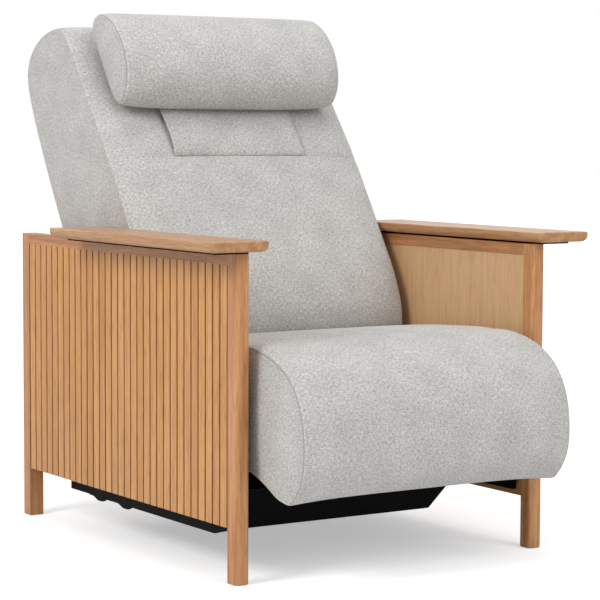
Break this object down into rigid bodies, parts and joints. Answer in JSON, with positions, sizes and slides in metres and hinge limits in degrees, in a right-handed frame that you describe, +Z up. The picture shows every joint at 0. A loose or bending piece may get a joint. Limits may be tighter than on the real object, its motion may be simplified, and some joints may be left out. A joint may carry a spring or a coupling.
{
  "type": "reclining massage chair",
  "caption": "Wood-framed reclining massage chair: slatted side panels, flat armrests, upholstered seat, leg pad and back with a head pillow and a roller carriage inside.",
  "frame": {"origin": "middle of the footprint box, on the floor", "axes": "+Z up, the chair faces -Y, X across it; left and right are as seen from the front"},
  "size_m": [0.845, 1.1202, 1.0544],
  "materials": {
    "solid_wood": "satin lacquered red oak",
    "slat_wood": "satin lacquered oak slats",
    "veneer": "satin lacquered oak veneer",
    "fabric": "melange woven upholstery",
    "black_steel": "black powder coat",
    "grey_steel": "grey paint on pressed steel",
    "bright_steel": "zinc-plated steel",
    "roller_plastic": "moulded light grey nylon",
    "black_plastic": "moulded black plastic"
  },
  "bodies": {
    "base": {"front_post_left": "solid_wood", "rear_post_left": "solid_wood", "top_rail_left": "solid_wood", "bottom_rail_left": "solid_wood", "inner_panel_left": "veneer", "slat_board_left": "slat_wood", "armrest_left": "solid_wood", "armrest_plate_left": "black_steel", "base_rail_left": "black_steel", "side_plate_left": "black_steel", "front_post_right": "solid_wood", "rear_post_right": "solid_wood", "top_rail_right": "solid_wood", "bottom_rail_right": "solid_wood", "inner_panel_right": "veneer", "slat_board_right": "slat_wood", "armrest_right": "solid_wood", "armrest_plate_right": "black_steel", "base_rail_right": "black_steel", "side_plate_right": "black_steel", "armrest_screws": "bright_steel", "front_cross_member": "black_steel", "bottom_tray": "black_steel", "cross_tubes": "black_steel", "frame_spacers": "bright_steel", "frame_bolts": "bright_steel", "control_box": "black_plastic", "power_inlet": "black_plastic", "seat_pan": "black_steel", "seat_cushion": "fabric", "hinge_pins": "bright_steel", "recline_actuator": "black_plastic", "legrest_actuator": "black_plastic"},
    "backrest": {"back_front_pad": "fabric", "back_top_pad": "fabric", "back_side_pad_left": "fabric", "back_side_pad_right": "fabric", "back_rear_cover": "fabric", "head_pillow": "fabric", "neck_flap": "fabric", "back_frame": "black_steel", "guide_bars": "bright_steel", "lead_screw": "bright_steel"},
    "legrest": {"legrest_board": "black_steel", "leg_pad": "fabric"},
    "recline_rod": {"recline_rod": "bright_steel"},
    "legrest_rod": {"legrest_rod": "bright_steel"},
    "carriage": {"guide_shoes": "black_plastic", "carriage_plate": "black_steel", "kneading_shaft": "bright_steel", "kneading_motor": "black_plastic", "lift_drive": "black_plastic"},
    "arm_left": {"massage_arm_left": "grey_steel", "roller_axles_left": "bright_steel"},
    "arm_right": {"massage_arm_right": "grey_steel", "roller_axles_right": "bright_steel"},
    "upper_roller_left": {"upper_roller_left": "roller_plastic"},
    "upper_roller_right": {"upper_roller_right": "roller_plastic"},
    "lower_roller_left": {"lower_roller_left": "roller_plastic"},
    "lower_roller_right": {"lower_roller_right": "roller_plastic"}
  },
  "joints": [
    {"name": "back_recline", "type": "hinge", "parent": "base", "child": "backrest", "pos_m": [0, 0.00591, 0.345], "axis": [-1, 0, 0], "range_deg": [0, 38]},
    {"name": "legrest_lift", "type": "hinge", "parent": "base", "child": "legrest", "pos_m": [0, -0.34609, 0.41], "axis": [-1, 0, 0], "range_deg": [0, 35]},
    {"name": "recline_rod_slide", "type": "slide", "parent": "base", "child": "recline_rod", "axis": [0, -1, 0], "range_m": [0, 0.07585]},
    {"name": "legrest_rod_slide", "type": "slide", "parent": "base", "child": "legrest_rod", "axis": [0, -0.9841, 0.1776], "range_m": [0, 0.11235]},
    {"name": "carriage_travel", "type": "slide", "parent": "backrest", "child": "carriage", "axis": [0, 0.5446, 0.8387], "range_m": [-0.29, 0.09]},
    {"name": "arm_swing_left", "type": "hinge", "parent": "carriage", "child": "arm_left", "pos_m": [0, 0.28286, 0.72556], "axis": [-1, 0, 0], "range_deg": [-8, 8]},
    {"name": "arm_swing_right", "type": "hinge", "parent": "carriage", "child": "arm_right", "pos_m": [0, 0.28286, 0.72556], "axis": [-1, 0, 0], "range_deg": [-8, 8]},
    {"name": "upper_roller_spin_left", "type": "hinge", "parent": "arm_left", "child": "upper_roller_left", "pos_m": [0, 0.326, 0.82871], "axis": [1, 0, 0], "continuous": true},
    {"name": "lower_roller_spin_left", "type": "hinge", "parent": "arm_left", "child": "lower_roller_left", "pos_m": [0, 0.21854, 0.65406], "axis": [1, 0, 0], "continuous": true},
    {"name": "upper_roller_spin_right", "type": "hinge", "parent": "arm_right", "child": "upper_roller_right", "pos_m": [0, 0.326, 0.82871], "axis": [1, 0, 0], "continuous": true},
    {"name": "lower_roller_spin_right", "type": "hinge", "parent": "arm_right", "child": "lower_roller_right", "pos_m": [0, 0.21854, 0.65406], "axis": [1, 0, 0], "continuous": true}
  ],
  "couplings": [
    {"joint": "recline_rod_slide", "follows": "back_recline", "m_per_rad": 0.11422},
    {"joint": "legrest_rod_slide", "follows": "legrest_lift", "m_per_rad": 0.18375},
    {"joint": "arm_swing_right", "follows": "arm_swing_left", "ratio": -1}
  ]
}
